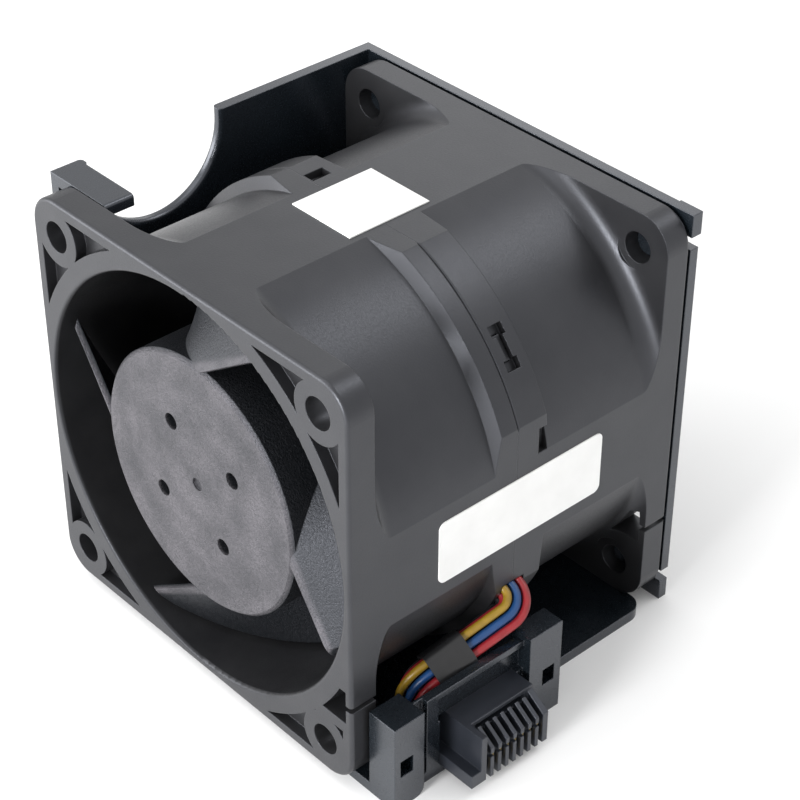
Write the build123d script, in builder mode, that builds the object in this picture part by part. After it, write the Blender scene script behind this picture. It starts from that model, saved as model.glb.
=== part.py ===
from build123d import *
import math
import os

os.makedirs("parts", exist_ok=True)

# Counter-rotating cooling fan in a hot-swap carrier. Millimetres and degrees.
# The origin is the centre of the front face: X to the connector side, Y to the rear, Z up.
# Both rotors turn about the Y axis.

# Frame, in two halves that meet at a raised rim
frame_side = 60.0
frame_depth = 56.0
joint_depth = 27.0
flange_thickness = 4.0
flange_corner_radius = 4.5
flange_edge_radius = 0.5
hole_inset = 5.0
hole_pitch = frame_side - 2 * hole_inset
hole_radius = 2.15
spot_face_radius = 3.3
bore_wall = 1.3
bore_radius = frame_side / 2 - bore_wall
bore_edge_radius = 0.5
barrel_wall = 2.05
barrel_radius = bore_radius + barrel_wall
flare_radius = 2.6
rim_height = 1.65
rim_radius = barrel_radius + rim_height
front_rim_length = 3.7
rear_rim_length = 5.2
front_rim_bevel = 0.9
rear_rim_bevel = 0.5
joint_groove = 0.2

# How far a cut starts outside the wall that it opens
cut_overrun = 1.0

# Slots in the rear half's side of the rim, one in its top and one in its side
rim_slot_depth = 1.2
top_slot_start = 27.2
top_slot_end = 30.3
top_slot_left = -9.5
top_slot_right = -7.6
side_slot_start = 30.6
side_slot_low = 6.7
side_slot_high = 10.5

# Pockets that lighten the flange corners
pocket_depth = 1.6
pocket_border = 1.6
pocket_ring = 2.7
boss_radius = 4.1

# Notch and slot where wires can cross a flange
notch_width = 4.8
notch_height = 5.2
notch_inset = 3.4
notch_centre_x = frame_side / 2 - notch_inset
notch_centre_z = -17.0
notch_slot_height = 0.8

# Snap tongues of the front half in slots of the rear half
snap_angles = (39.5, 140.5, 219.5, 320.5)
snap_slot_start = 1.1
snap_slot_depth = 1.2
snap_bar_length = 2.2
snap_bar_width = 1.5
snap_stem_length = 1.1
snap_stem_width = 3.0
tongue_width = 3.4
tongue_thickness = 0.7
tongue_length = 2.7
tongue_clearance = 0.1
tongue_cover = 0.75

# Motor mounts at the joint, with a duct for the leads in one strut
strut_hub_gap = 0.8
mount_thickness = 2.5
mount_floor = 0.6
strut_count = 5
strut_width = 2.2
strut_depth = 4.0
strut_root = 1.0
strut_embed = 0.6
lead_strut_width = 5.6
lead_angle = -24.5
duct_width = 3.9
duct_depth = 1.95
duct_inner_radius = 11.6
board_window_length = 3.0

# Impellers
hub_radius = 18.4
hub_wall = 1.6
hub_face_thickness = 1.8
hub_length = 22.4
hub_setback = 1.0
hub_edge_radius = 0.5
balance_hole_radius = 1.15
balance_hole_circle = 8.6
balance_hole_count = 4
balance_hole_angle = 33.0
gate_mark_radius = 0.9
gate_mark_depth = 0.3
tip_clearance = 0.6
blade_thickness = 0.8
blade_start = 0.3
blade_depth = 14.8
front_blade_count = 4
rear_blade_count = 5
blade_root_angle = 84.0
blade_sweep = 21.5
blade_root_wrap = 50.0
blade_tip_wrap = 63.0
front_root_steepness = 0.1
rear_root_steepness = 1.9
tip_steepness = 1.0
blade_sections = 9
blade_root_embed = 0.5
blade_trim = 0.6
blade_corner_radius = 2.2

# Motors
cup_wall = 1.0
cup_length = 19.8
cup_boss_radius = 3.2
cup_boss_length = 3.0
magnet_thickness = 1.8
magnet_length = 12.5
magnet_setback = 3.2
air_gap = 0.4
core_length = 8.0
core_setback = 5.7
core_ring = 2.2
tooth_count = 9
tooth_width = 1.8
shoe_thickness = 1.2
shoe_gap_angle = 8.0
insulator_thickness = 0.5
coil_build = 1.1
coil_corner_radius = 0.8
coil_end_gap = 0.3
tube_radius = 5.2
tube_bore = 3.3
tube_floor_gap = 0.2
bearing_outer_radius = 4.0
bearing_width = 3.5
bearing_groove = 0.3
bearing_race = 0.8
bearing_fit = 0.02
bearing_front_setback = 0.6
shaft_radius = 1.5
shaft_tip_gap = 0.3
clip_groove_depth = 0.4
clip_thickness = 0.4
clip_radius = 2.6
clip_gap = 0.15
washer_inner_gap = 0.15
washer_radius = 2.9
washer_thickness = 0.3
board_thickness = 1.0
board_clearance = 0.6
board_bore_gap = 0.2
chip_size = 3.0
chip_height = 0.5
chip_circle = 10.5
chip_angles = (60.0, 150.0, 240.0)

# Labels, plain
label_thickness = 0.15
label_corner_radius = 1.0
side_label_front = 14.1
side_label_length = 27.9
side_label_height = 9.3
side_label_centre_z = -0.15
top_label_front = 21.6
top_label_length = 13.0
top_label_width = 10.8
top_label_centre_x = 0.4

# Carrier, one moulding on three sides of the frame
carrier_wall = 1.6
base_front = 2.4
base_rear = 52.6
base_corner_radius = 2.5
side_wall_front = 4.2
arch_centre_y = 19.5
arch_drop = 1.35
arch_radius = 10.55
arch_edge_radius = 0.6
tab_length = 10.0
tab_width = 4.4
tab_thickness = 1.6
tab_edge_radius = 0.5
back_gap = 0.3
back_thickness = 1.4
back_inset = 0.1
back_right = frame_side / 2 - back_inset
back_opening_lip = 0.3
back_opening_radius = bore_radius - back_opening_lip
corner_block_width = 3.6
corner_block_height = 3.2
corner_block_step = 0.3
corner_gap = 1.8
back_window_inner = 4.1
back_window_outer = 1.6
back_window_low = -22.4
back_window_high = -13.5
foot_width = 3.4
foot_gap = 1.9
foot_height = 3.1
peg_gap = 0.1
peg_length = 2.2
peg_chamfer = 0.4

# Connector block on the carrier
block_gap = 0.5
block_thickness = 4.7
block_inner = frame_side / 2 + block_gap
block_outer = block_inner + block_thickness
frame_bottom = -frame_side / 2
front_post_start = 2.4
front_post_length = 4.9
front_post_rise = 12.0
front_post_top = frame_bottom + front_post_rise
front_post_round = 1.4
rear_post_start = 25.4
rear_post_inset = 1.3
rear_post_inner = block_inner + rear_post_inset
rear_post_length = 5.7
rear_post_rise = 12.8
rear_post_top = frame_bottom + rear_post_rise
rear_post_chamfer = 3.1
rear_post_chamfer_height = 4.0
keeper_hole_length = 2.1
keeper_hole_height = 2.7
keeper_hole_rise = 4.9
keeper_hole_z = frame_bottom + keeper_hole_rise
keeper_hole_depth = 2.2
front_keeper_y = 4.4
rear_keeper_y = 28.9
wall_inset = 1.2
wall_outer = block_outer - wall_inset
wall_thickness = 1.3
wall_top = front_post_top
wall_recess = 0.9
wall_strip_start = 8.8
wall_strip_end = 10.7

# Blind-mate connector
connector_front = 11.0
connector_rear = 24.2
connector_inset = 0.9
connector_reach = 4.7
connector_rib_length = 2.9
connector_height = 7.4
connector_back = block_inner + connector_inset
connector_face = block_outer + connector_reach
connector_shelf = connector_face - connector_rib_length
connector_bottom = frame_bottom
connector_top = connector_bottom + connector_height
connector_step_height = 2.0
connector_step_width = 1.6
connector_side_wall = 1.5
slot_count = 8
slot_pitch = 1.3
slot_width = 0.75
slot_floor = 0.9
rib_drop = 2.6
rib_step = 0.6
lip_gap_width = 0.9
lip_gap_height = 1.1
lip_to_ribs = 0.3
rib_notch_width = 0.7
rib_notch_height = 0.6
rib_notch_drop = 3.5
contact_thickness = 0.35
contact_height = 2.4
contact_setback = 0.6
contact_inset = 0.6
contact_back = connector_back + contact_inset

# Leads, eight round wires in three columns and three layers
lead_radius = 0.55
lead_pitch = 1.25
layer_pitch = 1.3
lead_columns = 3
lead_layers = 3
# Column, layer and board (-1 front, 1 rear) of each lead, by colour
lead_places = {
    "red": ((1, 0, -1), (2, 2, 1)),
    "black": ((0, 0, -1), (1, 1, 1)),
    "yellow": ((2, 0, -1), (0, 2, 1)),
    "blue": ((2, 1, -1), (1, 2, 1)),
}
lead_start_radius = 12.6
lead_start_step = 1.3
lead_exit_radius = 34.8
lead_drop_point = (28.1, 9.2, -21.2)
lead_foot_point = (26.6, 16.8, -26.9)
board_bend_radius = 0.7
exit_bend_radius = 2.4
drop_bend_radius = 2.9
foot_bend_radius = 2.6
sleeve_wall = 0.3
sleeve_gap = 0.15
sleeve_start = 8.8
sleeve_length = 5.6


def face_plane(depth):
    """Plane square to the fan's axis, X to the right and Z up, looking out of the front."""
    return Plane(origin=(0, depth, 0), x_dir=(1, 0, 0), z_dir=(0, -1, 0))


def polar(radius, angle, depth):
    """Point at a radius and an angle about the fan's axis, with 0 degrees at +X and 90 at +Z."""
    turn = math.radians(angle)
    return Vector(radius * math.cos(turn), depth, radius * math.sin(turn))


def turned(points):
    """Closed ring turned about the fan's axis, from corners given as (radius, depth)."""
    with BuildPart() as ring:
        with BuildSketch(Plane.XY):
            with BuildLine():
                Polyline(*points, close=True)
            make_face()
        revolve(axis=Axis.Y)
    return ring


def turned_tube(outer, inner, start, end):
    """Plain tube about the fan's axis between two depths."""
    return turned([(inner, start), (outer, start), (outer, end), (inner, end)])


def span_box(low, high, **options):
    """Box between two opposite corners."""
    size = [high[i] - low[i] for i in range(3)]
    middle = [(high[i] + low[i]) / 2 for i in range(3)]
    with Locations(tuple(middle)):
        return Box(*size, **options)


def save(piece, name):
    """Labels a finished piece and writes it as its own file."""
    piece.part.label = name
    export_step(piece.part, f"parts/{name}.step")


# Frame halves

def barrel_blank(face, rim_length, bevel):
    """Solid barrel with a flare at its flange and a rim at the joint, flattened to the square."""
    inward = 1 if face < joint_depth else -1
    flange_back = face + inward * flange_thickness
    flare_end = flange_back + inward * flare_radius
    rim_start = joint_depth - inward * rim_length
    with BuildPart() as blank:
        with BuildSketch(Plane.XY):
            with BuildLine():
                Line((0, flange_back), (barrel_radius + flare_radius, flange_back))
                RadiusArc(
                    (barrel_radius + flare_radius, flange_back),
                    (barrel_radius, flare_end),
                    inward * flare_radius,
                )
                Polyline(
                    (barrel_radius, flare_end),
                    (barrel_radius, rim_start),
                    (rim_radius, rim_start + inward * bevel),
                    (rim_radius, joint_depth - inward * joint_groove),
                    (rim_radius - joint_groove, joint_depth),
                    (0, joint_depth),
                    (0, flange_back),
                )
            make_face()
        revolve(axis=Axis.Y)
        with BuildSketch(face_plane(flange_back)):
            Rectangle(frame_side, frame_side)
        extrude(amount=-inward * abs(joint_depth - flange_back), mode=Mode.INTERSECT)
    return blank


def pocket_outline():
    """Sketch of the two recesses beside each hole, within the flange's border and bore ring."""
    border_side = frame_side - 2 * pocket_border
    corner_side = (border_side - hole_pitch) / 2
    Rectangle(border_side, border_side)
    Circle(bore_radius + pocket_ring, mode=Mode.SUBTRACT)
    with GridLocations(hole_pitch, hole_pitch, 2, 2):
        Circle(boss_radius, mode=Mode.SUBTRACT)
    with GridLocations(hole_pitch + corner_side, hole_pitch + corner_side, 2, 2):
        Rectangle(corner_side, corner_side, mode=Mode.SUBTRACT)


def notch_outline():
    """Sketch of the wire notch beside the low hole on the connector side, with its side slot."""
    with Locations((notch_centre_x, notch_centre_z)):
        Rectangle(notch_width, notch_height)
    slot_length = frame_side / 2 - notch_centre_x + notch_width
    with Locations((notch_centre_x, notch_centre_z)):
        Rectangle(slot_length, notch_slot_height, align=(Align.MIN, Align.CENTER))


def frame_half(face, rim_length, bevel):
    """One half of the housing: flange, barrel, struts and the mount of its motor."""
    inward = 1 if face < joint_depth else -1
    depth = abs(joint_depth - face)
    mount_face = joint_depth - inward * mount_thickness
    flange_back = face + inward * flange_thickness
    with BuildPart() as half:
        with BuildSketch(face_plane(face)):
            RectangleRounded(frame_side, frame_side, flange_corner_radius)
        extrude(amount=-inward * flange_thickness)
        open_face = half.faces().sort_by(Axis.Y)[0 if inward > 0 else -1]
        fillet(open_face.edges(), radius=flange_edge_radius)
        add(barrel_blank(face, rim_length, bevel).part)
        with BuildSketch(face_plane(face)):
            Circle(bore_radius)
        extrude(amount=-inward * depth, mode=Mode.SUBTRACT)
        open_face = half.faces().sort_by(Axis.Y)[0 if inward > 0 else -1]
        fillet(open_face.edges().filter_by(GeomType.CIRCLE).sort_by(SortBy.RADIUS)[-1],
               radius=bore_edge_radius)
        with BuildSketch(face_plane(face)):
            with GridLocations(hole_pitch, hole_pitch, 2, 2):
                Circle(hole_radius)
        extrude(amount=-inward * flange_thickness, mode=Mode.SUBTRACT)
        with BuildSketch(face_plane(flange_back)):
            with GridLocations(hole_pitch, hole_pitch, 2, 2):
                Circle(spot_face_radius)
        extrude(amount=-inward * flare_radius, mode=Mode.SUBTRACT)
        with BuildSketch(face_plane(face)):
            pocket_outline()
            with Locations((hole_pitch / 2, notch_centre_z)):
                Rectangle(2 * boss_radius, notch_height + 2 * pocket_border, mode=Mode.SUBTRACT)
        extrude(amount=-inward * pocket_depth, mode=Mode.SUBTRACT)
        with BuildSketch(face_plane(face)):
            notch_outline()
            Circle(bore_radius + pocket_ring, mode=Mode.SUBTRACT)
        extrude(amount=-inward * (flange_thickness + flare_radius), mode=Mode.SUBTRACT)
        with BuildSketch(face_plane(joint_depth)):
            Circle(hub_radius)
        extrude(amount=inward * mount_thickness)
        strut_length = bore_radius + strut_embed - hub_radius + strut_root
        with BuildSketch(face_plane(joint_depth)):
            with PolarLocations(
                hub_radius - strut_root + strut_length / 2, strut_count, start_angle=lead_angle
            ):
                Rectangle(strut_length, strut_width)
            with PolarLocations(
                hub_radius - strut_root + strut_length / 2, 1, start_angle=lead_angle
            ):
                Rectangle(strut_length, lead_strut_width)
        extrude(amount=inward * strut_depth)
        with BuildSketch(face_plane(mount_face)):
            Circle(hub_radius + strut_hub_gap)
        extrude(amount=inward * strut_depth, mode=Mode.SUBTRACT)
        duct_length = rim_radius - duct_inner_radius + cut_overrun
        with BuildSketch(face_plane(joint_depth)):
            with PolarLocations(duct_inner_radius + duct_length / 2, 1, start_angle=lead_angle):
                Rectangle(duct_length, duct_width)
        extrude(amount=inward * duct_depth, mode=Mode.SUBTRACT)
        with BuildSketch(face_plane(joint_depth)):
            with PolarLocations(
                duct_inner_radius + board_window_length / 2, 1, start_angle=lead_angle
            ):
                Rectangle(board_window_length, duct_width)
        extrude(amount=inward * mount_thickness, mode=Mode.SUBTRACT)
        with BuildSketch(face_plane(mount_face)):
            Circle(tube_radius)
        extrude(amount=-inward * (mount_thickness - mount_floor), mode=Mode.SUBTRACT)
    return half


def snap_plane(angle, radius):
    """Plane facing outward at a snap, its X along the rim's round and its Y along the depth."""
    return Plane(
        origin=polar(radius, angle, joint_depth),
        x_dir=polar(1, angle + 90, 0),
        z_dir=polar(1, angle, 0),
    )


def tongue_outline(width, length, along):
    """Sketch of a snap tongue seen from outside, from the joint to the rear."""
    with Locations((0, along * length / 2)):
        Rectangle(width, length)


blank_front = frame_half(0, front_rim_length, front_rim_bevel)
blank_rear = frame_half(frame_depth, rear_rim_length, rear_rim_bevel)
tongue_outer = rim_radius - tongue_cover
rearward = 1 if snap_plane(0, 1).y_dir.Y > 0 else -1

with BuildPart() as front_frame:
    add(blank_front.part)
    for angle in snap_angles:
        with BuildSketch(snap_plane(angle, tongue_outer)):
            tongue_outline(tongue_width, tongue_length, rearward)
            tongue_outline(tongue_width, tongue_length, -rearward)
        extrude(amount=-tongue_thickness)

with BuildPart() as rear_frame:
    add(blank_rear.part)
    for angle in snap_angles:
        with BuildSketch(snap_plane(angle, tongue_outer + tongue_clearance)):
            tongue_outline(
                tongue_width + 2 * tongue_clearance, tongue_length + tongue_clearance, rearward
            )
        extrude(amount=-tongue_thickness - 2 * tongue_clearance, mode=Mode.SUBTRACT)
        bar_shift = (snap_stem_width + snap_bar_width) / 2
        slot_middle = rearward * (snap_slot_start + snap_bar_length / 2)
        with BuildSketch(snap_plane(angle, rim_radius + cut_overrun)):
            with Locations((0, slot_middle)):
                Rectangle(snap_stem_width, snap_stem_length)
            with Locations((-bar_shift, slot_middle), (bar_shift, slot_middle)):
                Rectangle(snap_bar_width, snap_bar_length)
        extrude(amount=-snap_slot_depth - cut_overrun, mode=Mode.SUBTRACT)
    span_box(
        (top_slot_left, top_slot_start, frame_side / 2 - rim_slot_depth),
        (top_slot_right, top_slot_end, frame_side / 2),
        mode=Mode.SUBTRACT,
    )
    span_box(
        (frame_side / 2 - rim_slot_depth, side_slot_start, side_slot_low),
        (frame_side / 2, joint_depth + rear_rim_length, side_slot_high),
        mode=Mode.SUBTRACT,
    )

save(front_frame, "front_frame")
save(rear_frame, "rear_frame")


# Impellers, each a hub and its blades in one moulding

def chord_rise(share, steepness):
    """Share of a blade's depth reached at a share of its wrap, for a slope at the open end."""
    return steepness * share + (1 - steepness) * share**2


def blade_line(open_depth, inward, steepness, radius, start_angle, wrap, share):
    """Point on a blade's root or tip line, at a share of its wrap from the open edge."""
    depth = open_depth + inward * (blade_start + blade_depth * chord_rise(share, steepness))
    return polar(radius, start_angle + wrap * share, depth)


def blade_section(open_depth, inward, root_steepness, share):
    """Root and tip of the blade's middle surface at a share of its wrap."""
    root = blade_line(
        open_depth, inward, root_steepness, hub_radius - blade_root_embed,
        blade_root_angle, blade_root_wrap, share,
    )
    tip = blade_line(
        open_depth, inward, tip_steepness, bore_radius - tip_clearance + blade_trim,
        blade_root_angle - blade_sweep, blade_tip_wrap, share,
    )
    return root, tip


def blade(open_depth, inward, root_steepness):
    """One swept and cambered blade, lofted through thin sections from its open edge inward."""
    tip_radius = bore_radius - tip_clearance
    with BuildPart() as vane:
        for step in range(blade_sections):
            share = step / (blade_sections - 1)
            root, tip = blade_section(open_depth, inward, root_steepness, share)
            ahead = min(share + 0.02, 1)
            near, far = (
                sum(blade_section(open_depth, inward, root_steepness, at), Vector())
                for at in (ahead - 0.04, ahead)
            )
            span = tip - root
            normal = span.cross(far - near).normalized()
            section = Plane(origin=root, x_dir=span, z_dir=span.cross(normal))
            with BuildSketch(section):
                Rectangle(span.length, blade_thickness, align=(Align.MIN, Align.CENTER))
        loft()
        with BuildSketch(face_plane(open_depth - inward * blade_depth)):
            Circle(tip_radius)
        extrude(amount=-inward * 3 * blade_depth, mode=Mode.INTERSECT)
        # Rounded corner at the open end of the tip
        edge = open_depth + inward * (blade_start - blade_thickness / 2)
        corner_end = edge + inward * blade_corner_radius
        before = edge - inward * blade_thickness
        with BuildSketch(Plane.XY):
            with BuildLine():
                RadiusArc(
                    (tip_radius - blade_corner_radius, edge),
                    (tip_radius, corner_end),
                    -inward * blade_corner_radius,
                )
                Polyline(
                    (tip_radius, corner_end),
                    (tip_radius + blade_trim, corner_end),
                    (tip_radius + blade_trim, before),
                    (tip_radius - blade_corner_radius, before),
                    (tip_radius - blade_corner_radius, edge),
                )
            make_face()
        revolve(axis=Axis.Y, mode=Mode.SUBTRACT)
    return vane


def hub(open_depth, inward):
    """Cup-shaped hub, open toward the motor mount, with balance holes in its face."""
    inner = hub_radius - hub_wall
    shell_end = open_depth + inward * hub_length
    face_back = open_depth + inward * hub_face_thickness
    with BuildPart() as cap:
        add(
            turned(
                [
                    (0, open_depth),
                    (hub_radius - hub_edge_radius, open_depth),
                    (hub_radius, open_depth + inward * hub_edge_radius),
                    (hub_radius, shell_end),
                    (inner, shell_end),
                    (inner, face_back),
                    (0, face_back),
                ]
            ).part
        )
        with BuildSketch(face_plane(open_depth)):
            with PolarLocations(
                balance_hole_circle, balance_hole_count, start_angle=balance_hole_angle
            ):
                Circle(balance_hole_radius)
        extrude(amount=-inward * hub_face_thickness, mode=Mode.SUBTRACT)
        with BuildSketch(face_plane(open_depth)):
            Circle(gate_mark_radius)
        extrude(amount=-inward * gate_mark_depth, mode=Mode.SUBTRACT)
    return cap


def impeller(open_depth, inward, root_steepness, blade_count):
    """Hub with its ring of blades."""
    vane = blade(open_depth, inward, root_steepness)
    with BuildPart() as wheel:
        add(hub(open_depth, inward).part)
        for index in range(blade_count):
            add(vane.part.rotate(Axis.Y, 360 * index / blade_count))
        inner = hub_radius - hub_wall
        with BuildSketch(face_plane(open_depth + inward * hub_face_thickness)):
            Circle(inner)
        extrude(amount=-inward * hub_length, mode=Mode.SUBTRACT)
    return wheel


front_open = hub_setback
rear_open = 2 * joint_depth - hub_setback
front_impeller = impeller(front_open, 1, front_root_steepness, front_blade_count)
rear_impeller = impeller(rear_open, -1, rear_root_steepness, rear_blade_count)
save(front_impeller, "front_impeller")
save(rear_impeller, "rear_impeller")


# Motors, the same at both ends: inward is +1 at the front, -1 at the rear

def rotor_cup(open_depth, inward):
    """Steel yoke pressed into the hub, with a boss that grips the shaft."""
    outer = hub_radius - hub_wall
    face = open_depth + inward * hub_face_thickness
    plate_back = face + inward * cup_wall
    boss_end = plate_back + inward * cup_boss_length
    rim_end = face + inward * cup_length
    return turned(
        [
            (shaft_radius, face),
            (outer, face),
            (outer, rim_end),
            (outer - cup_wall, rim_end),
            (outer - cup_wall, plate_back),
            (cup_boss_radius, plate_back),
            (cup_boss_radius, boss_end),
            (shaft_radius, boss_end),
        ]
    )


def magnet_ring(open_depth, inward):
    """Ring magnet inside the yoke."""
    outer = hub_radius - hub_wall - cup_wall
    start = open_depth + inward * (hub_face_thickness + cup_wall + magnet_setback)
    return turned_tube(outer, outer - magnet_thickness, start, start + inward * magnet_length)


def motor_depths(open_depth, inward):
    """Depths of the motor's seats: boss end, tube end, mount face and the two bearings."""
    boss_end = open_depth + inward * (hub_face_thickness + cup_wall + cup_boss_length)
    mount_face = joint_depth - inward * mount_thickness
    washer_seat = boss_end + inward * 2 * washer_thickness
    first_bearing = washer_seat + inward * 2 * washer_thickness
    second_bearing = mount_face - inward * bearing_width
    return boss_end, mount_face, first_bearing, second_bearing


def shaft(open_depth, inward):
    """Shaft from the yoke through both bearings, grooved for its clip."""
    mount_face = motor_depths(open_depth, inward)[1]
    start = open_depth + inward * hub_face_thickness
    groove_start = mount_face + inward * clip_gap
    groove_end = groove_start + inward * clip_thickness
    end = joint_depth - inward * (mount_floor + shaft_tip_gap)
    groove = shaft_radius - clip_groove_depth
    return turned(
        [
            (0, start),
            (shaft_radius, start),
            (shaft_radius, groove_start),
            (groove, groove_start),
            (groove, groove_end),
            (shaft_radius, groove_end),
            (shaft_radius, end),
            (0, end),
        ]
    )


def retaining_clip(open_depth, inward):
    """Split ring in the shaft's groove, behind the second bearing."""
    groove_start = motor_depths(open_depth, inward)[1] + inward * clip_gap
    with BuildPart() as clip:
        with BuildSketch(face_plane(groove_start)):
            Circle(clip_radius)
            Circle(shaft_radius - clip_groove_depth, mode=Mode.SUBTRACT)
            with Locations((0, -clip_radius)):
                Rectangle(shaft_radius, 2 * clip_radius - shaft_radius, mode=Mode.SUBTRACT)
        extrude(amount=-inward * clip_thickness)
    return clip


def preload_washer(open_depth, inward):
    """Conical spring washer between the yoke's boss and the first bearing."""
    boss_end, _, first_bearing, _ = motor_depths(open_depth, inward)
    inner = shaft_radius + washer_inner_gap
    return turned(
        [
            (inner, first_bearing - inward * washer_thickness),
            (inner, first_bearing),
            (washer_radius, boss_end + inward * washer_thickness),
            (washer_radius, boss_end),
        ]
    )


def bearing(start, inward):
    """Shielded ball bearing, with a groove each side between its rings."""
    end = start + inward * bearing_width
    bore = shaft_radius + bearing_fit
    inner_race = bore + bearing_race
    outer_race = bearing_outer_radius - bearing_race
    return turned(
        [
            (bore, start),
            (inner_race, start),
            (inner_race, start + inward * bearing_groove),
            (outer_race, start + inward * bearing_groove),
            (outer_race, start),
            (bearing_outer_radius, start),
            (bearing_outer_radius, end),
            (outer_race, end),
            (outer_race, end - inward * bearing_groove),
            (inner_race, end - inward * bearing_groove),
            (inner_race, end),
            (bore, end),
        ]
    )


def bearings(open_depth, inward):
    """The motor's two bearings, as separate solids of one node."""
    _, _, first_bearing, second_bearing = motor_depths(open_depth, inward)
    with BuildPart() as pair:
        add(bearing(first_bearing, inward).part)
        add(bearing(second_bearing, inward).part)
    return pair


def bearing_tube(open_depth, inward):
    """Brass tube pressed into the mount, with a shoulder for each bearing."""
    _, mount_face, first_bearing, second_bearing = motor_depths(open_depth, inward)
    first_shoulder = first_bearing + inward * bearing_width
    tube_end = joint_depth - inward * (mount_floor + tube_floor_gap)
    return turned(
        [
            (bearing_outer_radius, first_bearing - inward * bearing_front_setback / 2),
            (tube_radius, first_bearing - inward * bearing_front_setback / 2),
            (tube_radius, tube_end),
            (bearing_outer_radius, tube_end),
            (bearing_outer_radius, second_bearing),
            (tube_bore, second_bearing),
            (tube_bore, first_shoulder),
            (bearing_outer_radius, first_shoulder),
        ]
    )


def core_radius():
    """Outer radius of the stator's core, an air gap inside the magnet."""
    return hub_radius - hub_wall - cup_wall - magnet_thickness - air_gap


def core_outline():
    """Sketch of the stator's lamination: a ring, its teeth and their shoes."""
    outer = core_radius()
    ring_outer = tube_radius + core_ring
    Circle(outer)
    Circle(outer - shoe_thickness, mode=Mode.SUBTRACT)
    with PolarLocations(outer, tooth_count, start_angle=180 / tooth_count):
        Rectangle(
            4 * shoe_thickness,
            2 * outer * math.tan(math.radians(shoe_gap_angle / 2)),
            mode=Mode.SUBTRACT,
        )
    Circle(ring_outer)
    tooth_length = outer - shoe_thickness / 2 - tube_radius - core_ring / 2
    with PolarLocations(tube_radius + core_ring / 2 + tooth_length / 2, tooth_count):
        Rectangle(tooth_length, tooth_width)
    Circle(tube_radius, mode=Mode.SUBTRACT)


def core_start(open_depth, inward):
    """Depth of the stator core's end nearer the hub's face."""
    return open_depth + inward * (hub_face_thickness + cup_wall + core_setback)


def stator_core(open_depth, inward):
    """Stack of laminations on the bearing tube."""
    with BuildPart() as core:
        with BuildSketch(face_plane(core_start(open_depth, inward))):
            core_outline()
        extrude(amount=-inward * core_length)
    return core


def stator_insulator(open_depth, inward):
    """Moulded end caps on both sides of the core."""
    start = core_start(open_depth, inward)
    with BuildPart() as caps:
        for depth in (start - inward * insulator_thickness, start + inward * core_length):
            with BuildSketch(face_plane(depth)):
                core_outline()
            extrude(amount=-inward * insulator_thickness)
    return caps


def coil_windings(open_depth, inward):
    """One coil round each tooth."""
    middle = core_start(open_depth, inward) + inward * core_length / 2
    inner = tube_radius + core_ring + coil_end_gap
    outer = core_radius() - shoe_thickness - coil_end_gap
    tall = core_length + 2 * insulator_thickness
    with BuildPart() as coils:
        for index in range(tooth_count):
            angle = 360 * index / tooth_count
            around = Plane(
                origin=polar(inner, angle, middle),
                x_dir=polar(1, angle + 90, 0),
                z_dir=polar(1, angle, 0),
            )
            with BuildSketch(around):
                RectangleRounded(
                    tooth_width + 2 * coil_build, tall + 2 * coil_build, coil_corner_radius
                )
                Rectangle(tooth_width, tall, mode=Mode.SUBTRACT)
            extrude(amount=outer - inner)
    return coils


def circuit_board(open_depth, inward):
    """Round board on the motor mount, with its driver chips."""
    mount_face = joint_depth - inward * mount_thickness
    board_face = mount_face - inward * board_thickness
    with BuildPart() as board:
        with BuildSketch(face_plane(mount_face)):
            Circle(hub_radius - hub_wall - board_clearance)
            Circle(tube_radius + board_bore_gap, mode=Mode.SUBTRACT)
        extrude(amount=inward * board_thickness)
        with BuildSketch(face_plane(board_face)):
            for angle in chip_angles:
                with PolarLocations(chip_circle, 1, start_angle=angle):
                    Rectangle(chip_size, chip_size)
        extrude(amount=inward * chip_height)
    return board


motor_parts = {
    "rotor_cup": rotor_cup,
    "magnet_ring": magnet_ring,
    "shaft": shaft,
    "retaining_clip": retaining_clip,
    "preload_washer": preload_washer,
    "bearings": bearings,
    "bearing_tube": bearing_tube,
    "stator_core": stator_core,
    "stator_insulator": stator_insulator,
    "coil_windings": coil_windings,
    "circuit_board": circuit_board,
}
for end, open_depth, inward in (("front", front_open, 1), ("rear", rear_open, -1)):
    for part_name, make in motor_parts.items():
        save(make(open_depth, inward), f"{end}_{part_name}")


# Labels on the flats of the barrel

with BuildPart() as side_label:
    with BuildSketch(Plane.YZ.offset(frame_side / 2)):
        with Locations((side_label_front + side_label_length / 2, side_label_centre_z)):
            RectangleRounded(side_label_length, side_label_height, label_corner_radius)
    extrude(amount=label_thickness)

with BuildPart() as top_label:
    with BuildSketch(Plane.XY.offset(frame_side / 2)):
        with Locations((top_label_centre_x, top_label_front + top_label_length / 2)):
            Rectangle(top_label_width, top_label_length)
    extrude(amount=label_thickness)

save(side_label, "side_label")
save(top_label, "top_label")


# Carrier

half_side = frame_side / 2
carrier_left = -half_side - carrier_wall
carrier_bottom = -half_side - carrier_wall
back_face = frame_depth + back_gap
carrier_rear = back_face + back_thickness
block_rear = rear_post_start + rear_post_length
arch_centre_z = half_side - arch_drop


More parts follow.
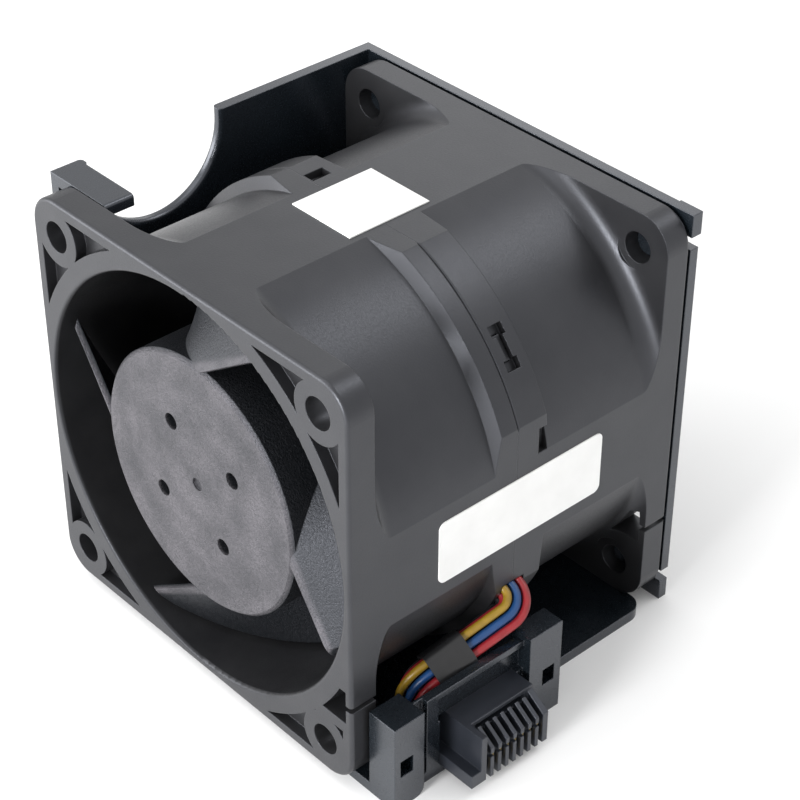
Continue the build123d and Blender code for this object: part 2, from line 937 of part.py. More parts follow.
with BuildPart() as carrier:
    # Base plate, with its step out under the connector block
    with BuildSketch(Plane.XY.offset(carrier_bottom)):
        with Locations((carrier_left, base_front)):
            Rectangle(
                block_inner - carrier_left, base_rear - base_front, align=(Align.MIN, Align.MIN)
            )
        with Locations((0, base_front)):
            Rectangle(
                wall_outer, block_rear - base_front, align=(Align.MIN, Align.MIN)
            )
        with Locations((carrier_left, base_front)):
            Rectangle(
                half_side, carrier_rear - base_front, align=(Align.MIN, Align.MIN)
            )
    extrude(amount=carrier_wall)
    rear_right = carrier.edges().filter_by(Axis.Z).sort_by_distance(
        (block_inner, base_rear, carrier_bottom)
    )
    fillet(rear_right[0], radius=base_corner_radius)
    # Left wall with its finger arch
    with BuildSketch(Plane.YZ.offset(carrier_left)):
        with Locations((side_wall_front, carrier_bottom)):
            Rectangle(
                carrier_rear - side_wall_front,
                half_side - carrier_bottom,
                align=(Align.MIN, Align.MIN),
            )
        with Locations((arch_centre_y, arch_centre_z)):
            Circle(arch_radius, mode=Mode.SUBTRACT)
            Rectangle(
                2 * arch_radius, 2 * arch_drop, align=(Align.CENTER, Align.MIN),
                mode=Mode.SUBTRACT,
            )
    extrude(amount=carrier_wall)
    arch_edges = carrier.edges().filter_by(GeomType.CIRCLE).filter_by(
        lambda edge: abs(edge.radius - arch_radius) < arch_edge_radius
    )
    fillet(arch_edges, radius=arch_edge_radius)
    # Back plate, open behind the bore and behind the wire notch, slit over its foot
    with BuildSketch(face_plane(back_face)):
        with Locations((carrier_left, carrier_bottom)):
            Rectangle(
                back_right - carrier_left, half_side - carrier_bottom,
                align=(Align.MIN, Align.MIN),
            )
        Circle(back_opening_radius, mode=Mode.SUBTRACT)
        with Locations((notch_centre_x - back_window_inner, back_window_low)):
            Rectangle(
                back_window_inner + back_window_outer, back_window_high - back_window_low,
                align=(Align.MIN, Align.MIN), mode=Mode.SUBTRACT,
            )
        with Locations((back_right, carrier_bottom + foot_height)):
            Rectangle(
                2 * foot_width, foot_gap,
                align=(Align.CENTER, Align.MIN), mode=Mode.SUBTRACT,
            )
        with Locations((back_right, half_side - corner_block_height - corner_gap)):
            Rectangle(
                2 * corner_block_width, corner_gap,
                align=(Align.CENTER, Align.MIN), mode=Mode.SUBTRACT,
            )
    extrude(amount=-back_thickness)

    # Tab folded in over the barrel, behind the front flange
    span_box(
        (-half_side, side_wall_front, half_side - tab_thickness),
        (-half_side + tab_length, side_wall_front + tab_width, half_side),
    )
    tab_end = carrier.edges().filter_by(Axis.Y).sort_by_distance(
        (-half_side + tab_length, side_wall_front, half_side)
    )
    fillet(tab_end[0], radius=tab_edge_radius)
    # Corner block on the back plate
    span_box(
        (back_right - corner_block_width, back_face, half_side - corner_block_height),
        (back_right, carrier_rear + corner_block_step, half_side),
    )
    # Pegs in the holes of the rear flange, ending inside them
    with BuildSketch(face_plane(back_face)):
        with GridLocations(hole_pitch, hole_pitch, 2, 2):
            Circle(hole_radius - peg_gap)
    extrude(amount=back_gap + peg_length)
    peg_tips = carrier.faces().sort_by(Axis.Y).filter_by(
        lambda face: abs(face.center().Y - frame_depth + peg_length) < peg_gap
    )
    chamfer(peg_tips.edges(), length=peg_chamfer)
    # Connector block: two posts, and the wall between them
    with BuildSketch(Plane.YZ.offset(block_inner)) as front_post:
        with Locations((front_post_start, carrier_bottom)):
            Rectangle(
                front_post_length, front_post_top - carrier_bottom,
                align=(Align.MIN, Align.MIN),
            )
        fillet(front_post.vertices().sort_by(Axis.Y)[:2].sort_by(Axis.X)[1], front_post_round)
    extrude(amount=block_outer - block_inner)
    with BuildSketch(Plane.YZ.offset(rear_post_inner)):
        with BuildLine():
            Polyline(
                (rear_post_start, rear_post_top),
                (block_rear, rear_post_top),
                (block_rear, carrier_bottom),
                (rear_post_start + rear_post_chamfer, carrier_bottom),
                (rear_post_start + rear_post_chamfer, -half_side),
                (rear_post_start, -half_side + rear_post_chamfer_height),
                close=True,
            )
        make_face()
    extrude(amount=block_outer - rear_post_inner)
    span_box(
        (wall_outer - wall_thickness, front_post_start + front_post_length, carrier_bottom),
        (wall_outer, rear_post_start, wall_top),
    )
    span_box(
        (wall_outer - wall_recess, front_post_start + front_post_length, -half_side),
        (wall_outer, wall_strip_start, wall_top),
        mode=Mode.SUBTRACT,
    )
    span_box(
        (wall_outer - wall_recess, wall_strip_end, connector_top),
        (wall_outer, rear_post_start, wall_top - wall_recess),
        mode=Mode.SUBTRACT,
    )
    for middle in (front_keeper_y, rear_keeper_y):
        span_box(
            (
                block_outer - keeper_hole_depth,
                middle - keeper_hole_length / 2,
                keeper_hole_z - keeper_hole_height / 2,
            ),
            (
                block_outer,
                middle + keeper_hole_length / 2,
                keeper_hole_z + keeper_hole_height / 2,
            ),
            mode=Mode.SUBTRACT,
        )
    # Window in the wall for the connector
    span_box(
        (wall_outer - wall_thickness, connector_front, connector_bottom),
        (wall_outer, connector_rear, connector_top),
        mode=Mode.SUBTRACT,
    )

save(carrier, "carrier")


# Blind-mate connector, a comb of ribs with a contact in each slot

slot_middle_y = (connector_front + connector_step_width + connector_rear) / 2
contact_bottom = connector_bottom + slot_floor

with BuildPart() as connector_contacts:
    for index in range(slot_count):
        y = slot_middle_y + (index - (slot_count - 1) / 2) * slot_pitch
        span_box(
            (contact_back, y - contact_thickness / 2, contact_bottom),
            (
                connector_face - contact_setback,
                y + contact_thickness / 2,
                contact_bottom + contact_height,
            ),
        )

with BuildPart() as connector_housing:
    span_box(
        (connector_back, connector_front, connector_bottom),
        (connector_face, connector_rear, connector_bottom + connector_step_height),
    )
    span_box(
        (connector_back, connector_front + connector_step_width, connector_bottom),
        (connector_face, connector_rear, connector_top),
    )
    # Sloping top of the ribs, in front of the shelf
    with BuildSketch(Plane.XZ.offset(-connector_rear)):
        with BuildLine():
            Polyline(
                (connector_shelf, connector_top),
                (connector_face, connector_top),
                (connector_face, connector_top - rib_drop),
                (connector_shelf, connector_top - rib_step),
                close=True,
            )
        make_face()
    extrude(
        amount=connector_rear - connector_front - connector_step_width - connector_side_wall,
        mode=Mode.SUBTRACT,
    )
    # Gap under the shelf's lip and notch in the front of the ribs, between the cheeks
    cheek_front = connector_front + connector_step_width + connector_side_wall
    cheek_rear = connector_rear - connector_side_wall
    lip_gap_top = connector_top - rib_step
    notch_top = connector_top - rib_notch_drop
    span_box(
        (connector_shelf - lip_gap_width, cheek_front, lip_gap_top - lip_gap_height),
        (connector_shelf + lip_to_ribs, cheek_rear, lip_gap_top),
        mode=Mode.SUBTRACT,
    )
    span_box(
        (connector_face - rib_notch_width, cheek_front, notch_top - rib_notch_height),
        (connector_face, cheek_rear, notch_top),
        mode=Mode.SUBTRACT,
    )
    for index in range(slot_count):
        y = slot_middle_y + (index - (slot_count - 1) / 2) * slot_pitch
        span_box(
            (connector_shelf, y - slot_width / 2, connector_bottom),
            (connector_face, y + slot_width / 2, connector_top),
            mode=Mode.SUBTRACT,
        )
    add(connector_contacts.part, mode=Mode.SUBTRACT)

save(connector_housing, "connector_housing")
save(connector_contacts, "connector_contacts")


# Leads from both boards, through the duct and down to the back of the connector

along_duct = polar(1, lead_angle, 0)
across_duct = polar(1, lead_angle + 90, 0)
lead_path = (
    polar(lead_start_radius, lead_angle, joint_depth),
    polar(lead_exit_radius, lead_angle, joint_depth),
    Vector(*lead_drop_point),
    Vector(*lead_foot_point),
    Vector(connector_back, lead_foot_point[1], lead_foot_point[2]),
)
lead_bend_radii = (exit_bend_radius, drop_bend_radius, foot_bend_radius)


def parallel_route(centre, radii, offset):
    """Corners and bend radii of a route beside a centre line, its offset carried round bends."""
    points, bends = [centre[0] + offset], []
    for last, here, following, radius in zip(centre, centre[1:], centre[2:], radii):
        before, after = (here - last).normalized(), (following - here).normalized()
        turn = before.get_angle(after)
        inside = offset.dot(after) / math.sin(math.radians(turn))
        points.append(here + offset - before * inside * math.tan(math.radians(turn / 2)))
        bends.append(radius - inside)
        offset = offset.rotate(Axis((0, 0, 0), before.cross(after)), turn)
    points.append(centre[-1] + offset)
    return points, bends


def lead_offset(column, layer):
    """Offset of a lead from the middle of its bundle, in the duct."""
    side = (column - (lead_columns - 1) / 2) * lead_pitch
    return across_duct * side + Vector(0, (layer - (lead_layers - 1) / 2) * layer_pitch, 0)


def lead(column, layer, board_side):
    """One round lead, from its board at one end of the mount to the connector."""
    points, bends = parallel_route(lead_path, lead_bend_radii, lead_offset(column, layer))
    # The leads nearer their board start farther out, so that none crosses another
    points[0] += along_duct * lead_start_step * abs(layer - (lead_layers - 1) / 2)
    board = joint_depth + board_side * mount_thickness
    points.insert(0, Vector(points[0].X, board, points[0].Z))
    bends.insert(0, board_bend_radius)
    print("lead", column, layer, "bend radii", [round(radius, 2) for radius in bends])
    with BuildPart() as wire:
        with BuildLine() as route:
            FilletPolyline(*points, radius=bends)
        with BuildSketch(Plane(origin=route.line @ 0, z_dir=route.line % 0)):
            Circle(lead_radius)
        sweep(path=route.line)
    return wire


for colour, places in lead_places.items():
    with BuildPart() as leads:
        for place in places:
            add(lead(*place).part)
    save(leads, f"{colour}_leads")


# Flat sleeve round all the leads

sleeve_run = (lead_path[2] - lead_path[1]).normalized()
sleeve_plane = Plane(
    origin=lead_path[1] + sleeve_run * sleeve_start,
    x_dir=across_duct.rotate(
        Axis((0, 0, 0), along_duct.cross(sleeve_run)), along_duct.get_angle(sleeve_run)
    ),
    z_dir=sleeve_run,
)
sleeve_width = (lead_columns - 1) * lead_pitch + 2 * lead_radius + 2 * sleeve_gap
sleeve_height = (lead_layers - 1) * layer_pitch + 2 * lead_radius + 2 * sleeve_gap
with BuildPart() as lead_sleeve:
    with BuildSketch(sleeve_plane):
        RectangleRounded(
            sleeve_width + 2 * sleeve_wall, sleeve_height + 2 * sleeve_wall,
            lead_radius + sleeve_gap + sleeve_wall,
        )
        RectangleRounded(
            sleeve_width, sleeve_height, lead_radius + sleeve_gap, mode=Mode.SUBTRACT
        )
    extrude(amount=sleeve_length)
save(lead_sleeve, "lead_sleeve")
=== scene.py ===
import math

import bpy
from mathutils import Matrix, Vector


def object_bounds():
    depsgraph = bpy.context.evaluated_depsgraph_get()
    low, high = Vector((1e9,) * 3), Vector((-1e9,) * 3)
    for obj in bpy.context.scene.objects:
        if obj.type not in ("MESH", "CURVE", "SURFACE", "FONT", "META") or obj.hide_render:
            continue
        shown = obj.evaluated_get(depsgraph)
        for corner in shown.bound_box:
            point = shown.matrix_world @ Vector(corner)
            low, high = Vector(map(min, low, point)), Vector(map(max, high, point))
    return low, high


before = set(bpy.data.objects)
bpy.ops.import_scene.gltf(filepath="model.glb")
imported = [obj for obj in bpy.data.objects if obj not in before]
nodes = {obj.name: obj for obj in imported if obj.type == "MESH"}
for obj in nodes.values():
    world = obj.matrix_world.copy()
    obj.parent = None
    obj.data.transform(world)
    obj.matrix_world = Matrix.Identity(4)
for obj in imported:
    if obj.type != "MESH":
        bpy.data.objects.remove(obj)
CAD_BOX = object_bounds()

# Metres and degrees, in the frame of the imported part
MM = 0.001
MIDDLE = (0, 28 * MM, 0)

# Camera, solved from the corners and holes of the front flange
CAMERA_PLACE = (178.029 * MM, -126.927 * MM, 170.426 * MM)
CAMERA_AZIMUTH = 47.696
CAMERA_ELEVATION = 35.849
CAMERA_ROLL = 0.176
CAMERA_LENS = 99.917
CAMERA_SENSOR = 36.0
CAMERA_NEAR = 10 * MM

# Floor and surroundings
FLOOR_RADIUS = 0.8
FLOOR_SIDES = 128
FLOOR_COLOUR = (0.95, 0.95, 0.95, 1)
FLOOR_ROUGHNESS = 0.9
SKY_COLOUR = (1.0, 1.0, 1.0, 1.0)
SKY_LEVEL = 0.75
SEEN_LEVEL = 1.0

# Soft lamps: place, width and power in watts
LAMPS = {
    "overhead": ((0.13, 0.34, 0.5), 0.22, 0.65),
    "key": ((-0.35, -0.3, 0.75), 0.7, 2.2),
    "front": ((-0.45, -0.5, 0.12), 0.45, 4.4),
    "front_right": ((0.1, -0.56, 0.13), 0.18, 4.4),
    "back_left": ((-0.48, 0.56, 0.36), 0.22, 0.2),
}

# Gloss of the dark plastics, and the rounding of moulded edges in shading
COOL_GLOSS = (0.87, 0.9, 1.0)
EDGE_RADIUS = 0.2 * MM
EDGE_SAMPLES = 6

# Bore of the frame, and depth of the hubs' open faces from the middle
BORE_RADIUS = 28.7 * MM
BORE_BLEND = 0.15 * MM
HUB_FACE = 26.8 * MM
FACE_BLEND = 0.3 * MM

# Marks on the impellers' plastic
CLOUD_SIZE = 7 * MM
SWIRL_SIZE = 24 * MM
FIBRE_SIZE = 0.3 * MM
FIBRE_HEIGHT = 0.12 * MM

# Grain of the labels, the metals and the leads
PAPER_MOTTLE = 5 * MM
PAPER_GRAIN = 0.3 * MM
PAPER_GRAIN_HEIGHT = 0.006 * MM
METAL_GRAIN = 0.5 * MM
METAL_GRAIN_HEIGHT = 0.004 * MM
METAL_UNEVENNESS = 0.08
WIRE_PITCH = 1.2 * MM
WIRE_HEIGHT = 0.08 * MM
TRACK_SIZE = 1.6 * MM
LEAD_MOTTLE = 1.5 * MM
LEAD_GRAIN = 0.4 * MM
LEAD_RIPPLE = 0.8 * MM
LEAD_RIPPLE_HEIGHT = 0.02 * MM
LEAD_SHADE = 0.75

LEAD_COLOURS = {
    "red": (0.27, 0.015, 0.02),
    "black": (0.014, 0.014, 0.015),
    "yellow": (0.28, 0.17, 0.014),
    "blue": (0.008, 0.05, 0.16),
}


# Node helpers

def new_material(name):
    """Node material that holds only its shader and output."""
    material = bpy.data.materials.new(name)
    material.use_nodes = True
    tree = material.node_tree
    tree.nodes.clear()
    output = tree.nodes.new("ShaderNodeOutputMaterial")
    shader = tree.nodes.new("ShaderNodeBsdfPrincipled")
    tree.links.new(shader.outputs["BSDF"], output.inputs["Surface"])
    return material, tree, shader


def calculate(tree, operation, first, second=None):
    """Result of a sum on one or two values."""
    node = tree.nodes.new("ShaderNodeMath")
    node.operation = operation
    tree.links.new(first, node.inputs[0])
    if second is not None:
        tree.links.new(second, node.inputs[1])
    return node.outputs["Value"]


def place_coordinates(tree):
    """Position on the object, in metres, the same in every view."""
    return tree.nodes.new("ShaderNodeTexCoord").outputs["Object"]


def noise(tree, size, detail=3.0, roughness=0.55, stretch=(1, 1, 1)):
    """Noise whose grains are about a size, in metres."""
    mapping = tree.nodes.new("ShaderNodeMapping")
    mapping.inputs["Scale"].default_value = stretch
    tree.links.new(place_coordinates(tree), mapping.inputs["Vector"])
    grain = tree.nodes.new("ShaderNodeTexNoise")
    grain.inputs["Scale"].default_value = 1 / size
    grain.inputs["Detail"].default_value = detail
    grain.inputs["Roughness"].default_value = roughness
    tree.links.new(mapping.outputs["Vector"], grain.inputs["Vector"])
    return grain.outputs["Fac"]


def spread(tree, source, low, high, start=0.3, end=0.7):
    """Value that runs from low to high as a source runs from start to end."""
    ramp = tree.nodes.new("ShaderNodeMapRange")
    ramp.inputs["From Min"].default_value = start
    ramp.inputs["From Max"].default_value = end
    ramp.inputs["To Min"].default_value = low
    ramp.inputs["To Max"].default_value = high
    tree.links.new(source, ramp.inputs["Value"])
    return ramp.outputs["Result"]


def blend_colours(tree, source, first, second):
    """Colour that runs between two by a source from 0 to 1."""
    mix = tree.nodes.new("ShaderNodeMix")
    mix.data_type = "RGBA"
    tree.links.new(source, mix.inputs["Factor"])
    mix.inputs["A"].default_value = (*first, 1)
    mix.inputs["B"].default_value = (*second, 1)
    return mix.outputs["Result"]


def soft_edges(tree):
    """Normal that rounds sharp edges, as a mould leaves them."""
    bevel = tree.nodes.new("ShaderNodeBevel")
    bevel.samples = EDGE_SAMPLES
    bevel.inputs["Radius"].default_value = EDGE_RADIUS
    return bevel.outputs["Normal"]


def bump(tree, shader, source, height, normal=None):
    """Fine relief of a height in metres, over an earlier normal if there is one."""
    relief = tree.nodes.new("ShaderNodeBump")
    relief.inputs["Strength"].default_value = 1.0
    relief.inputs["Distance"].default_value = height
    tree.links.new(source, relief.inputs["Height"])
    if normal is not None:
        tree.links.new(normal, relief.inputs["Normal"])
    tree.links.new(relief.outputs["Normal"], shader.inputs["Normal"])


# Masks by place

def inside_bore(tree):
    """1 on the bore's wall and nearer to the axis, 0 outside it; it places the frame's painted
    shade.
    """
    flat = tree.nodes.new("ShaderNodeVectorMath")
    flat.operation = "MULTIPLY"
    flat.inputs[1].default_value = (1, 0, 1)
    tree.links.new(place_coordinates(tree), flat.inputs[0])
    reach = tree.nodes.new("ShaderNodeVectorMath")
    reach.operation = "LENGTH"
    tree.links.new(flat.outputs["Vector"], reach.inputs[0])
    start, end = BORE_RADIUS + BORE_BLEND, BORE_RADIUS + 2 * BORE_BLEND
    return spread(tree, reach.outputs["Value"], low=1, high=0, start=start, end=end)


def on_hub_faces(tree):
    """1 on the open face of either hub, 0 deeper in the frame, where the impeller gets painted
    shade.
    """
    offset = tree.nodes.new("ShaderNodeVectorMath")
    offset.operation = "SUBTRACT"
    offset.inputs[1].default_value = MIDDLE
    tree.links.new(place_coordinates(tree), offset.inputs[0])
    parts = tree.nodes.new("ShaderNodeSeparateXYZ")
    tree.links.new(offset.outputs["Vector"], parts.inputs["Vector"])
    depth = calculate(tree, "ABSOLUTE", parts.outputs["Y"])
    return spread(tree, depth, low=0, high=1, start=HUB_FACE - FACE_BLEND, end=HUB_FACE)


# Plastics

def moulded_plastic(
    name, dark, light, gloss, grain_height=0.012 * MM, specular=0.5, tint=(1, 1, 1),
    unevenness=0.05, mottle=6 * MM, grain=0.25 * MM,
):
    """Moulded plastic: slow flow marks in its colour, a fine grain in gloss and surface."""
    material, tree, shader = new_material(name)
    marks = spread(tree, noise(tree, mottle), low=0, high=1)
    tree.links.new(blend_colours(tree, marks, dark, light), shader.inputs["Base Color"])
    fine = noise(tree, grain, detail=2.0)
    roughness = spread(tree, fine, low=gloss - unevenness, high=gloss + unevenness)
    tree.links.new(roughness, shader.inputs["Roughness"])
    shader.inputs["Specular IOR Level"].default_value = specular
    shader.inputs["Specular Tint"].default_value = (*tint, 1)
    bump(tree, shader, fine, grain_height, normal=soft_edges(tree))
    return material


def frame_plastic():
    """Satin plastic of the frame halves, with its reflection turned down on the wall of the bore
    as painted shade.
    """
    material = moulded_plastic(
        "frame_plastic", dark=(0.012, 0.012, 0.013), light=(0.018, 0.018, 0.019), gloss=0.38,
        tint=COOL_GLOSS,
    )
    tree = material.node_tree
    shader = tree.nodes["Principled BSDF"]
    # Painted shade: the reflection is turned down on the bore's wall and inward, where shade
    # falls
    level = spread(tree, inside_bore(tree), low=0.6, high=0.2, start=0, end=1)
    tree.links.new(level, shader.inputs["Specular IOR Level"])
    return material


def carrier_plastic():
    """Glossy black plastic of the carrier, smooth enough to mirror what is near."""
    return moulded_plastic(
        "carrier_plastic", dark=(0.004, 0.006, 0.008), light=(0.006, 0.009, 0.012), gloss=0.26,
        grain_height=0.001 * MM, specular=0.95, tint=COOL_GLOSS, unevenness=0.02,
    )


def connector_plastic():
    """Bluish black plastic of the connector, a little duller than the carrier."""
    return moulded_plastic(
        "connector_plastic", dark=(0.01, 0.012, 0.016), light=(0.016, 0.018, 0.024), gloss=0.38,
        grain_height=0.002 * MM, specular=0.7, tint=COOL_GLOSS, unevenness=0.02,
    )


def impeller_plastic():
    """Dark glass-filled moulding with glints of fibre, scuffed pale on the hub's face, and
    painted near black deeper in the frame as painted shade.
    """
    material, tree, shader = new_material("impeller_plastic")
    clouds = noise(tree, CLOUD_SIZE, detail=7.0, roughness=0.68)
    fibres = noise(tree, FIBRE_SIZE, roughness=0.7)
    swirls = tree.nodes.new("ShaderNodeTexWave")
    swirls.wave_type = "RINGS"
    swirls.rings_direction = "Y"
    swirls.inputs["Scale"].default_value = 1 / SWIRL_SIZE
    swirls.inputs["Distortion"].default_value = 5.0
    swirls.inputs["Detail"].default_value = 4.0
    tree.links.new(place_coordinates(tree), swirls.inputs["Vector"])
    scuffs_and_painted_shade = spread(tree, clouds, low=0.45, high=1, start=0.35, end=0.62)
    # Painted shade: the first mask keeps blades and hub deeper than the open face near black; the
    # rest are wear, flow marks and fibres
    for mask in (
        spread(tree, on_hub_faces(tree), low=0.08, high=1, start=0, end=1),
        spread(tree, swirls.outputs["Fac"], low=0.75, high=1, start=0, end=0.6),
        spread(tree, fibres, low=0.45, high=1, start=0.38, end=0.62),
    ):
        scuffs_and_painted_shade = calculate(tree, "MULTIPLY", scuffs_and_painted_shade, mask)
    colour = blend_colours(tree, scuffs_and_painted_shade, (0.003, 0.004, 0.005), (0.082, 0.076, 0.083))
    tree.links.new(colour, shader.inputs["Base Color"])
    tree.links.new(spread(tree, fibres, low=0.3, high=0.6), shader.inputs["Roughness"])
    shader.inputs["Specular IOR Level"].default_value = 0.5
    shader.inputs["Specular Tint"].default_value = (*COOL_GLOSS, 1)
    bump(tree, shader, fibres, FIBRE_HEIGHT, normal=soft_edges(tree))
    return material


def magnet_compound():
    """Dark grey compound of the magnet rings."""
    return moulded_plastic(
        "magnet", dark=(0.02, 0.02, 0.022), light=(0.045, 0.043, 0.045), gloss=0.6,
        grain_height=0.02 * MM,
    )


def nylon():
    """Pale nylon of the stators' end caps."""
    return moulded_plastic("nylon", dark=(0.6, 0.57, 0.48), light=(0.72, 0.69, 0.6), gloss=0.45)


def label_paper():
    """Blank white label with a faint grain."""
    material, tree, shader = new_material("label_paper")
    marks = spread(tree, noise(tree, PAPER_MOTTLE), low=0, high=1)
    colour = blend_colours(tree, marks, (0.77, 0.77, 0.76), (0.83, 0.83, 0.82))
    tree.links.new(colour, shader.inputs["Base Color"])
    shader.inputs["Roughness"].default_value = 0.45
    bump(tree, shader, noise(tree, PAPER_GRAIN), PAPER_GRAIN_HEIGHT)
    return material


def insulation(name, colour):
    """Soft round insulation of a lead, slightly uneven in colour and gloss."""
    material, tree, shader = new_material(name)
    marks = spread(tree, noise(tree, LEAD_MOTTLE), low=0, high=1)
    darker = tuple(channel * LEAD_SHADE for channel in colour)
    tree.links.new(blend_colours(tree, marks, darker, colour), shader.inputs["Base Color"])
    roughness = spread(tree, noise(tree, LEAD_GRAIN), low=0.3, high=0.42)
    tree.links.new(roughness, shader.inputs["Roughness"])
    bump(tree, shader, noise(tree, LEAD_RIPPLE), LEAD_RIPPLE_HEIGHT)
    return material


# Metals and boards

def metal(name, dark, light, gloss, grain=(1, 1, 1)):
    """Metal with streaks or grains along its machining."""
    material, tree, shader = new_material(name)
    streaks = noise(tree, METAL_GRAIN, detail=4.0, stretch=grain)
    colour = blend_colours(tree, spread(tree, streaks, low=0, high=1), dark, light)
    tree.links.new(colour, shader.inputs["Base Color"])
    shader.inputs["Metallic"].default_value = 1.0
    roughness = spread(tree, streaks, low=gloss - METAL_UNEVENNESS, high=gloss + METAL_UNEVENNESS)
    tree.links.new(roughness, shader.inputs["Roughness"])
    bump(tree, shader, streaks, METAL_GRAIN_HEIGHT)
    return material


def ground_steel():
    """Bright steel of shafts, clips, washers and bearings, turned along the axis."""
    return metal(
        "steel", dark=(0.45, 0.45, 0.46), light=(0.62, 0.62, 0.64), gloss=0.28, grain=(1, 6, 1)
    )


def cup_steel():
    """Dark coated steel of the rotor cups."""
    return metal("cup_steel", dark=(0.06, 0.06, 0.065), light=(0.11, 0.11, 0.115), gloss=0.5)


def core_steel():
    """Grey steel of the stator cores, streaked by its sheets."""
    return metal(
        "core_steel", dark=(0.22, 0.22, 0.23), light=(0.36, 0.36, 0.38), gloss=0.4,
        grain=(1, 20, 1),
    )


def brass():
    """Brass of the bearing tubes."""
    return metal(
        "brass", dark=(0.55, 0.38, 0.16), light=(0.78, 0.58, 0.28), gloss=0.25, grain=(1, 8, 1)
    )


def contact_metal():
    """Gold-coloured plating of the connector's contacts."""
    return metal("contact_metal", dark=(0.5, 0.38, 0.16), light=(0.72, 0.58, 0.3), gloss=0.3)


def copper_windings():
    """Enamelled copper wire, its turns seen as fine ridges across each coil."""
    material, tree, shader = new_material("copper_windings")
    turns = tree.nodes.new("ShaderNodeTexWave")
    turns.inputs["Scale"].default_value = 1 / WIRE_PITCH
    turns.inputs["Distortion"].default_value = 0.6
    turns.bands_direction = "DIAGONAL"
    tree.links.new(place_coordinates(tree), turns.inputs["Vector"])
    colour = blend_colours(tree, turns.outputs["Fac"], (0.42, 0.14, 0.05), (0.85, 0.4, 0.18))
    tree.links.new(colour, shader.inputs["Base Color"])
    shader.inputs["Metallic"].default_value = 1.0
    shader.inputs["Roughness"].default_value = 0.3
    bump(tree, shader, turns.outputs["Fac"], WIRE_HEIGHT)
    return material


def circuit_board():
    """Green solder resist with darker tracks under it."""
    material, tree, shader = new_material("circuit_board")
    tracks = tree.nodes.new("ShaderNodeTexVoronoi")
    tracks.distance = "MANHATTAN"
    tracks.feature = "DISTANCE_TO_EDGE"
    tracks.inputs["Scale"].default_value = 1 / TRACK_SIZE
    tree.links.new(place_coordinates(tree), tracks.inputs["Vector"])
    lines = spread(tree, tracks.outputs["Distance"], low=0, high=1, start=0.03, end=0.08)
    colour = blend_colours(tree, lines, (0.05, 0.3, 0.12), (0.012, 0.13, 0.05))
    tree.links.new(colour, shader.inputs["Base Color"])
    shader.inputs["Roughness"].default_value = 0.3
    return material


# Materials on the nodes

def dress(material, *names):
    """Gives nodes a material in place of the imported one."""
    for name in names:
        slots = nodes[name].data.materials
        slots.clear()
        slots.append(material)


def both_ends(*names):
    """Names of a motor's nodes at both ends."""
    return [f"{end}_{name}" for name in names for end in ("front", "rear")]


dress(frame_plastic(), "front_frame", "rear_frame")
dress(carrier_plastic(), "carrier")
dress(impeller_plastic(), *both_ends("impeller"))
dress(label_paper(), "side_label", "top_label")
dress(connector_plastic(), "connector_housing")
dress(contact_metal(), "connector_contacts")
dress(ground_steel(), *both_ends("shaft", "retaining_clip", "preload_washer", "bearings"))
dress(cup_steel(), *both_ends("rotor_cup"))
dress(core_steel(), *both_ends("stator_core"))
dress(brass(), *both_ends("bearing_tube"))
dress(magnet_compound(), *both_ends("magnet_ring"))
dress(nylon(), *both_ends("stator_insulator"))
dress(copper_windings(), *both_ends("coil_windings"))
dress(circuit_board(), *both_ends("circuit_board"))
dress(insulation("sleeve_black", (0.012, 0.012, 0.013)), "lead_sleeve")
for colour_name, colour in LEAD_COLOURS.items():
    dress(insulation(f"{colour_name}_insulation", colour), f"{colour_name}_leads")


# Camera

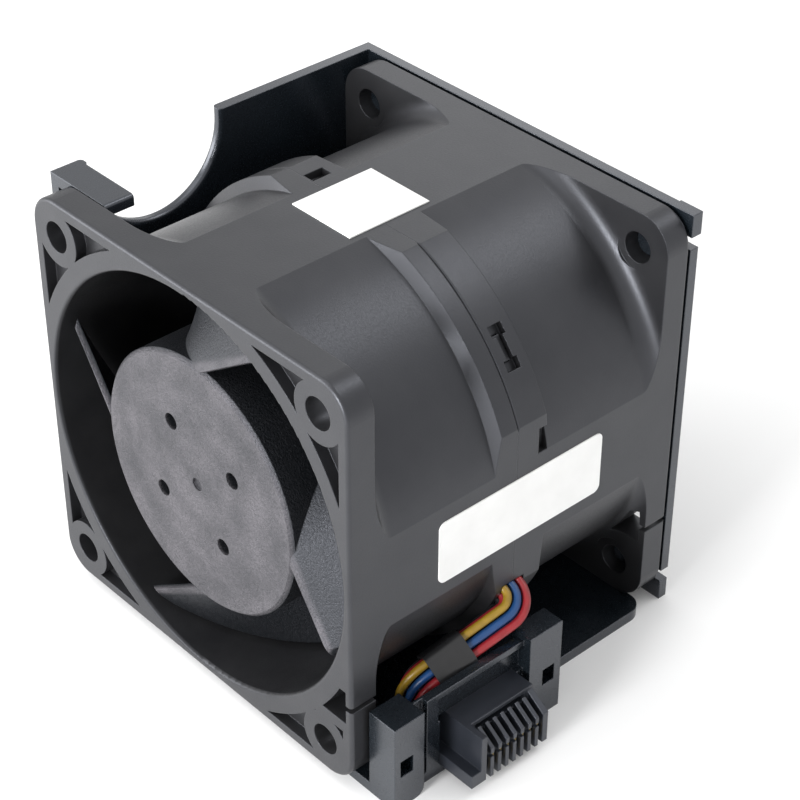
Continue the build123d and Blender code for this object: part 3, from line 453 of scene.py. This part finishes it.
def aim_camera():
    """Camera at the photograph's place and angle."""
    azimuth, elevation = math.radians(CAMERA_AZIMUTH), math.radians(CAMERA_ELEVATION)
    back = Vector(
        (
            math.sin(azimuth) * math.cos(elevation),
            -math.cos(azimuth) * math.cos(elevation),
            math.sin(elevation),
        )
    )
    level = Vector((0, 0, 1)).cross(back).normalized()
    turn = Matrix.Rotation(math.radians(CAMERA_ROLL), 3, back)
    right, up = turn @ level, turn @ back.cross(level)
    camera = bpy.data.objects.new("camera", bpy.data.cameras.new("camera"))
    camera.data.lens = CAMERA_LENS
    camera.data.sensor_width = CAMERA_SENSOR
    camera.data.clip_start = CAMERA_NEAR
    camera.matrix_world = Matrix.Translation(CAMERA_PLACE) @ Matrix(
        (right, up, back)
    ).transposed().to_4x4()
    bpy.context.collection.objects.link(camera)
    bpy.context.scene.camera = camera


# Floor and light

def lay_floor():
    """Plain pale floor under the object, which keeps its shadow."""
    bpy.ops.mesh.primitive_circle_add(
        vertices=FLOOR_SIDES, radius=FLOOR_RADIUS, fill_type="NGON",
        location=(0, 0, CAD_BOX[0][2]),
    )
    floor = bpy.context.object
    floor.name = "floor"
    material, tree, shader = new_material("floor")
    shader.inputs["Base Color"].default_value = FLOOR_COLOUR
    shader.inputs["Roughness"].default_value = FLOOR_ROUGHNESS
    floor.data.materials.append(material)


def light_world():
    """White surroundings for the camera and reflections, a lower level for diffuse light."""
    world = bpy.data.worlds.new("world")
    bpy.context.scene.world = world
    world.use_nodes = True
    tree = world.node_tree
    tree.nodes.clear()
    path = tree.nodes.new("ShaderNodeLightPath")
    seen = path.outputs["Is Camera Ray"]
    for kind in ("Is Glossy Ray", "Is Transmission Ray"):
        seen = calculate(tree, "MAXIMUM", seen, path.outputs[kind])
    level = spread(tree, seen, low=SKY_LEVEL, high=SEEN_LEVEL, start=0, end=1)
    sky = tree.nodes.new("ShaderNodeBackground")
    sky.inputs["Color"].default_value = SKY_COLOUR
    tree.links.new(level, sky.inputs["Strength"])
    output = tree.nodes.new("ShaderNodeOutputWorld")
    tree.links.new(sky.outputs["Background"], output.inputs["Surface"])


def soft_light(name, place, width, power):
    """Square softbox at a place, turned to the middle of the object."""
    lamp = bpy.data.lights.new(name, "AREA")
    lamp.size = width
    lamp.energy = power
    softbox = bpy.data.objects.new(name, lamp)
    softbox.location = place
    aim = Vector(MIDDLE) - Vector(place)
    softbox.rotation_euler = aim.to_track_quat("-Z", "Y").to_euler()
    bpy.context.collection.objects.link(softbox)


aim_camera()
lay_floor()
light_world()
for lamp_name, (place, width, power) in LAMPS.items():
    soft_light(lamp_name, place, width, power)

bpy.context.scene.view_settings.view_transform = "Standard"
